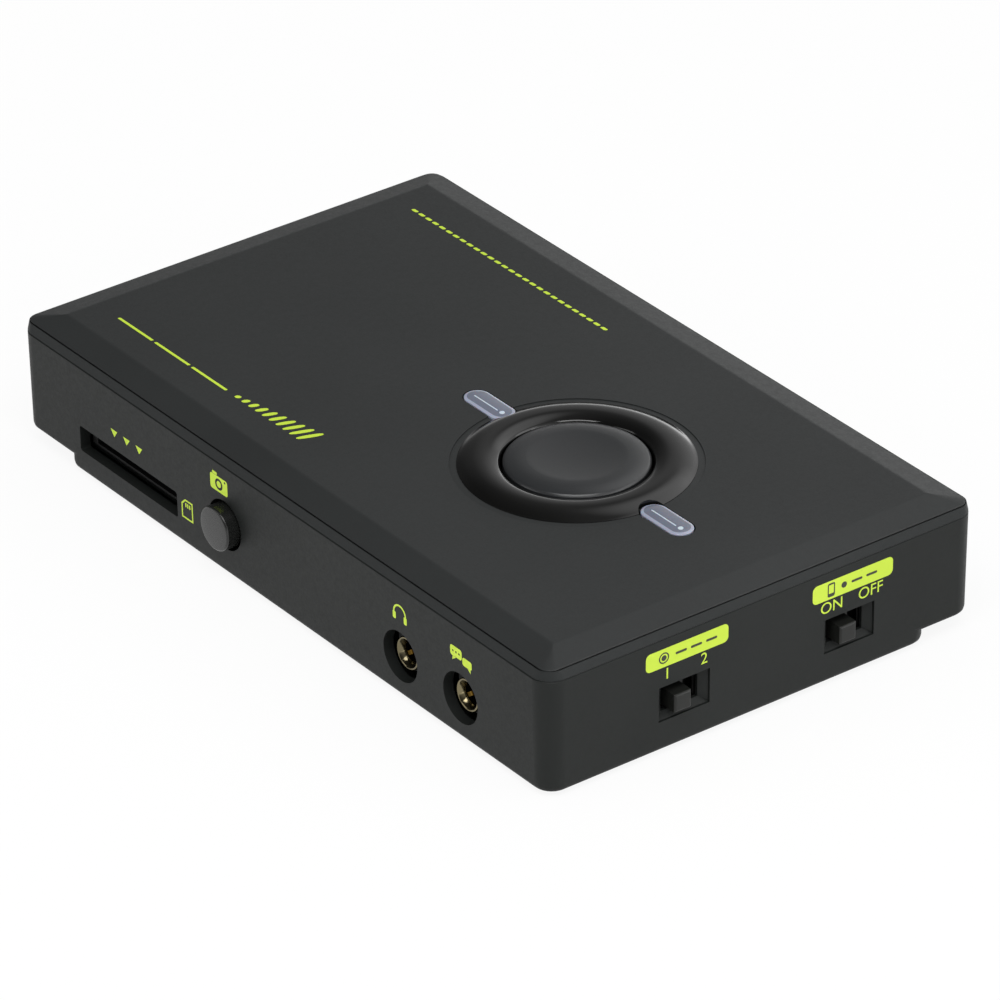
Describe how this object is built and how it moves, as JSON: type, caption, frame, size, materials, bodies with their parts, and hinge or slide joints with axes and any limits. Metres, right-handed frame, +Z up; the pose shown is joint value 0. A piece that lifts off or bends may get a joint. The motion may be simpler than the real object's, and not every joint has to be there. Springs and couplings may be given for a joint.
{
  "type": "video capture box",
  "caption": "Flat dark grey video capture box with a large round record button, light bars, card slot, snapshot button, audio jacks, slide switches and rear video ports.",
  "frame": {"origin": "under the middle of the whole box, on the surface that the feet stand on", "axes": "+X along the box towards the wall with the slide switches, -Y towards the wall with the card slot, +Z up"},
  "size_m": [0.1462, 0.0886, 0.0253],
  "materials": {
    "case_plastic": "fine matte moulded grey",
    "lid_plastic": "soft matte dark grey",
    "gloss_black": "polished black",
    "cap_plastic": "satin dark grey",
    "snap_plastic": "matte grey",
    "light_guide": "milky translucent",
    "led": "pale resin",
    "board": "green solder mask",
    "black_plastic": "black moulded",
    "plunger_plastic": "grey moulded",
    "knob_plastic": "light grey moulded",
    "nickel": "bright nickel plate",
    "jack_metal": "dull nickel brass",
    "gold": "gold flash",
    "tin": "tinned steel",
    "chip": "moulded epoxy",
    "pad": "soft gap filler",
    "sink": "grey anodised",
    "can": "drawn can",
    "screw_steel": "zinc plated",
    "foot_rubber": "black rubber"
  },
  "bodies": {
    "case": {"bottom_case": "case_plastic", "top_cover": "lid_plastic", "button_bezel": "gloss_black", "record_switch_body": "black_plastic", "light_bar_left": "light_guide", "light_bar_right": "light_guide", "indicator_leds": "led", "main_board": "board", "card_socket_base": "black_plastic", "card_socket_shell": "tin", "card_contacts": "gold", "snapshot_switch_body": "black_plastic", "headset_jack_housing": "black_plastic", "headset_jack_ferrule": "jack_metal", "chat_jack_housing": "black_plastic", "chat_jack_ferrule": "jack_metal", "jack_terminals": "gold", "mode_switch_frame": "tin", "mode_switch_base": "black_plastic", "phone_switch_frame": "tin", "phone_switch_base": "black_plastic", "video_in_shell": "nickel", "video_in_tongue": "black_plastic", "video_out_shell": "nickel", "video_out_tongue": "black_plastic", "data_port_shell": "nickel", "data_port_tongue": "black_plastic", "port_contacts": "gold", "processor_chip": "chip", "thermal_pad": "pad", "heat_sink": "sink", "memory_chips": "chip", "video_chips": "chip", "capacitors": "can", "case_screws": "screw_steel", "rubber_feet": "foot_rubber"},
    "record_press": {"record_button": "cap_plastic", "record_plunger": "plunger_plastic"},
    "snapshot_press": {"snapshot_button": "snap_plastic", "snapshot_plunger": "plunger_plastic"},
    "mode_slider": {"mode_switch_knob": "knob_plastic"},
    "phone_slider": {"phone_switch_knob": "knob_plastic"}
  },
  "joints": [
    {"name": "record_button_press", "type": "slide", "parent": "case", "child": "record_press", "axis": [0, 0, -1], "range_m": [0, 0.0005], "stiffness_N_per_m": 3000, "springref_m": -0.0003},
    {"name": "snapshot_button_press", "type": "slide", "parent": "case", "child": "snapshot_press", "axis": [0, 1, 0], "range_m": [0, 0.0005], "stiffness_N_per_m": 3000, "springref_m": -0.0003},
    {"name": "mode_switch_slide", "type": "slide", "parent": "case", "child": "mode_slider", "axis": [0, 1, 0], "range_m": [0, 0.0024]},
    {"name": "phone_switch_slide", "type": "slide", "parent": "case", "child": "phone_slider", "axis": [0, 1, 0], "range_m": [0, 0.0024]}
  ]
}
